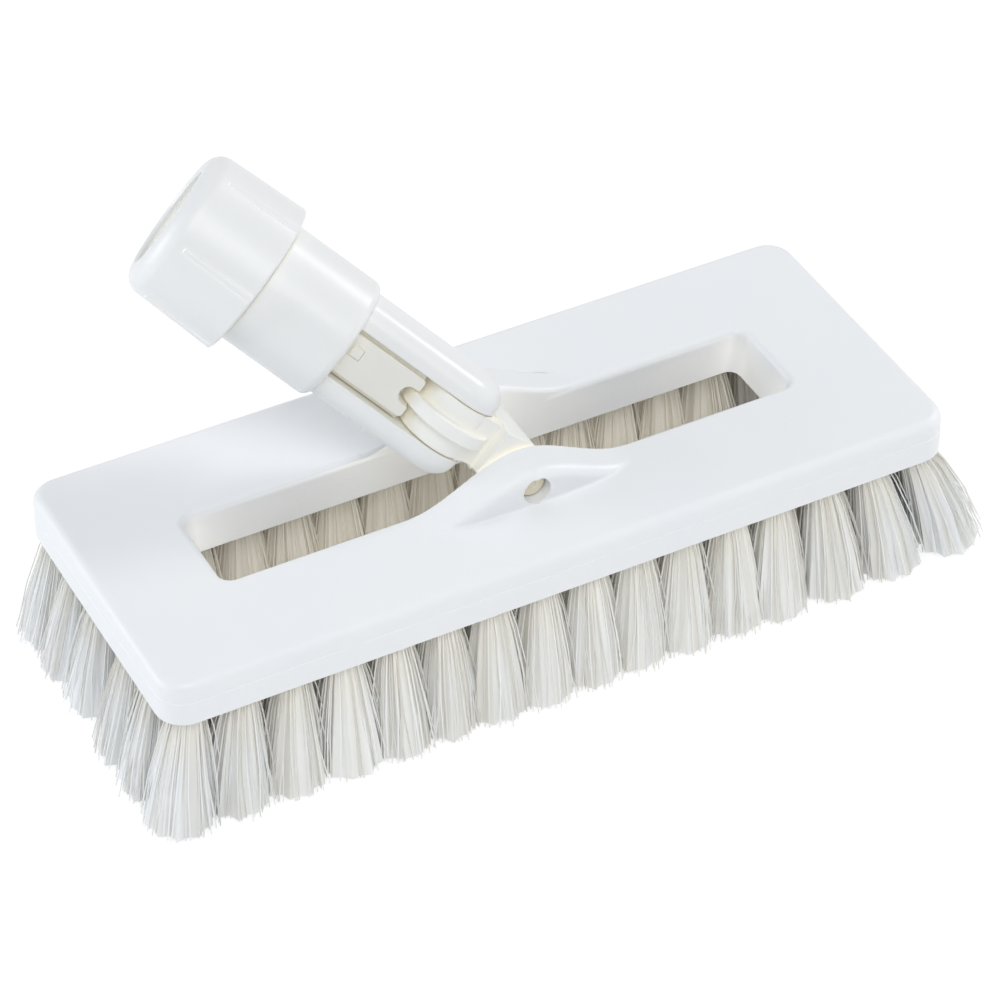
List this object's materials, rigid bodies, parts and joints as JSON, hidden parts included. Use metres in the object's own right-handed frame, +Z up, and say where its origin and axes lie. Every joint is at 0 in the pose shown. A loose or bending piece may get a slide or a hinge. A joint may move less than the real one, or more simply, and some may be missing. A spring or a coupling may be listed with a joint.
{
  "type": "swivel floor brush",
  "caption": "Scrub brush with a long open block on trimmed bristle tufts and a two-way swivel joint that ends in a clamping handle socket.",
  "frame": {"origin": "on the floor under the middle of the whole brush's box at rest, which lies 1.9 mm right and 7.4 mm back of the block's middle", "axes": "+X along the block towards its right end, +Y towards its back rail, +Z up; the socket leans to -X and +Y at rest"},
  "size_m": [0.2186, 0.1022, 0.1159],
  "materials": {
    "block": "white moulded plastic, semi-gloss",
    "bristle": "white synthetic bristle, slightly see-through",
    "pin": "ivory plastic pin",
    "knuckle": "warm white moulded plastic, semi-gloss",
    "socket": "white moulded plastic, semi-gloss",
    "plunger": "warm white moulded plastic, semi-gloss",
    "collar": "white moulded plastic, semi-gloss"
  },
  "bodies": {
    "brush": {"brush_block": "block", "axle_pin": "pin", "tufts_front_outer": "bristle", "tufts_front_inner": "bristle", "tufts_back_inner": "bristle", "tufts_back_outer": "bristle", "tufts_left_end": "bristle", "tufts_right_end": "bristle"},
    "knuckle": {"knuckle": "knuckle"},
    "socket": {"socket_yoke": "socket", "tilt_pin": "pin"},
    "plunger": {"lock_plunger": "plunger"},
    "collar": {"handle_collar": "collar"}
  },
  "joints": [
    {"name": "swing", "type": "hinge", "parent": "brush", "child": "knuckle", "pos_m": [-0.0019, -0.00742, 0.04755], "axis": [0, -1, 0], "range_deg": [-112, 18]},
    {"name": "tilt", "type": "hinge", "parent": "knuckle", "child": "socket", "pos_m": [-0.01419, -0.00742, 0.05901], "axis": [-0.682, 0, -0.7314], "range_deg": [-80.5, 9.5]},
    {"name": "plunger_slide", "type": "slide", "parent": "socket", "child": "plunger", "axis": [-0.5954, 0.5807, 0.5552], "range_m": [0, 0.0015]},
    {"name": "collar_turn", "type": "hinge", "parent": "socket", "child": "collar", "pos_m": [-0.01419, -0.00742, 0.05901], "axis": [-0.5954, 0.5807, 0.5552], "range_deg": [0, 180]}
  ]
}
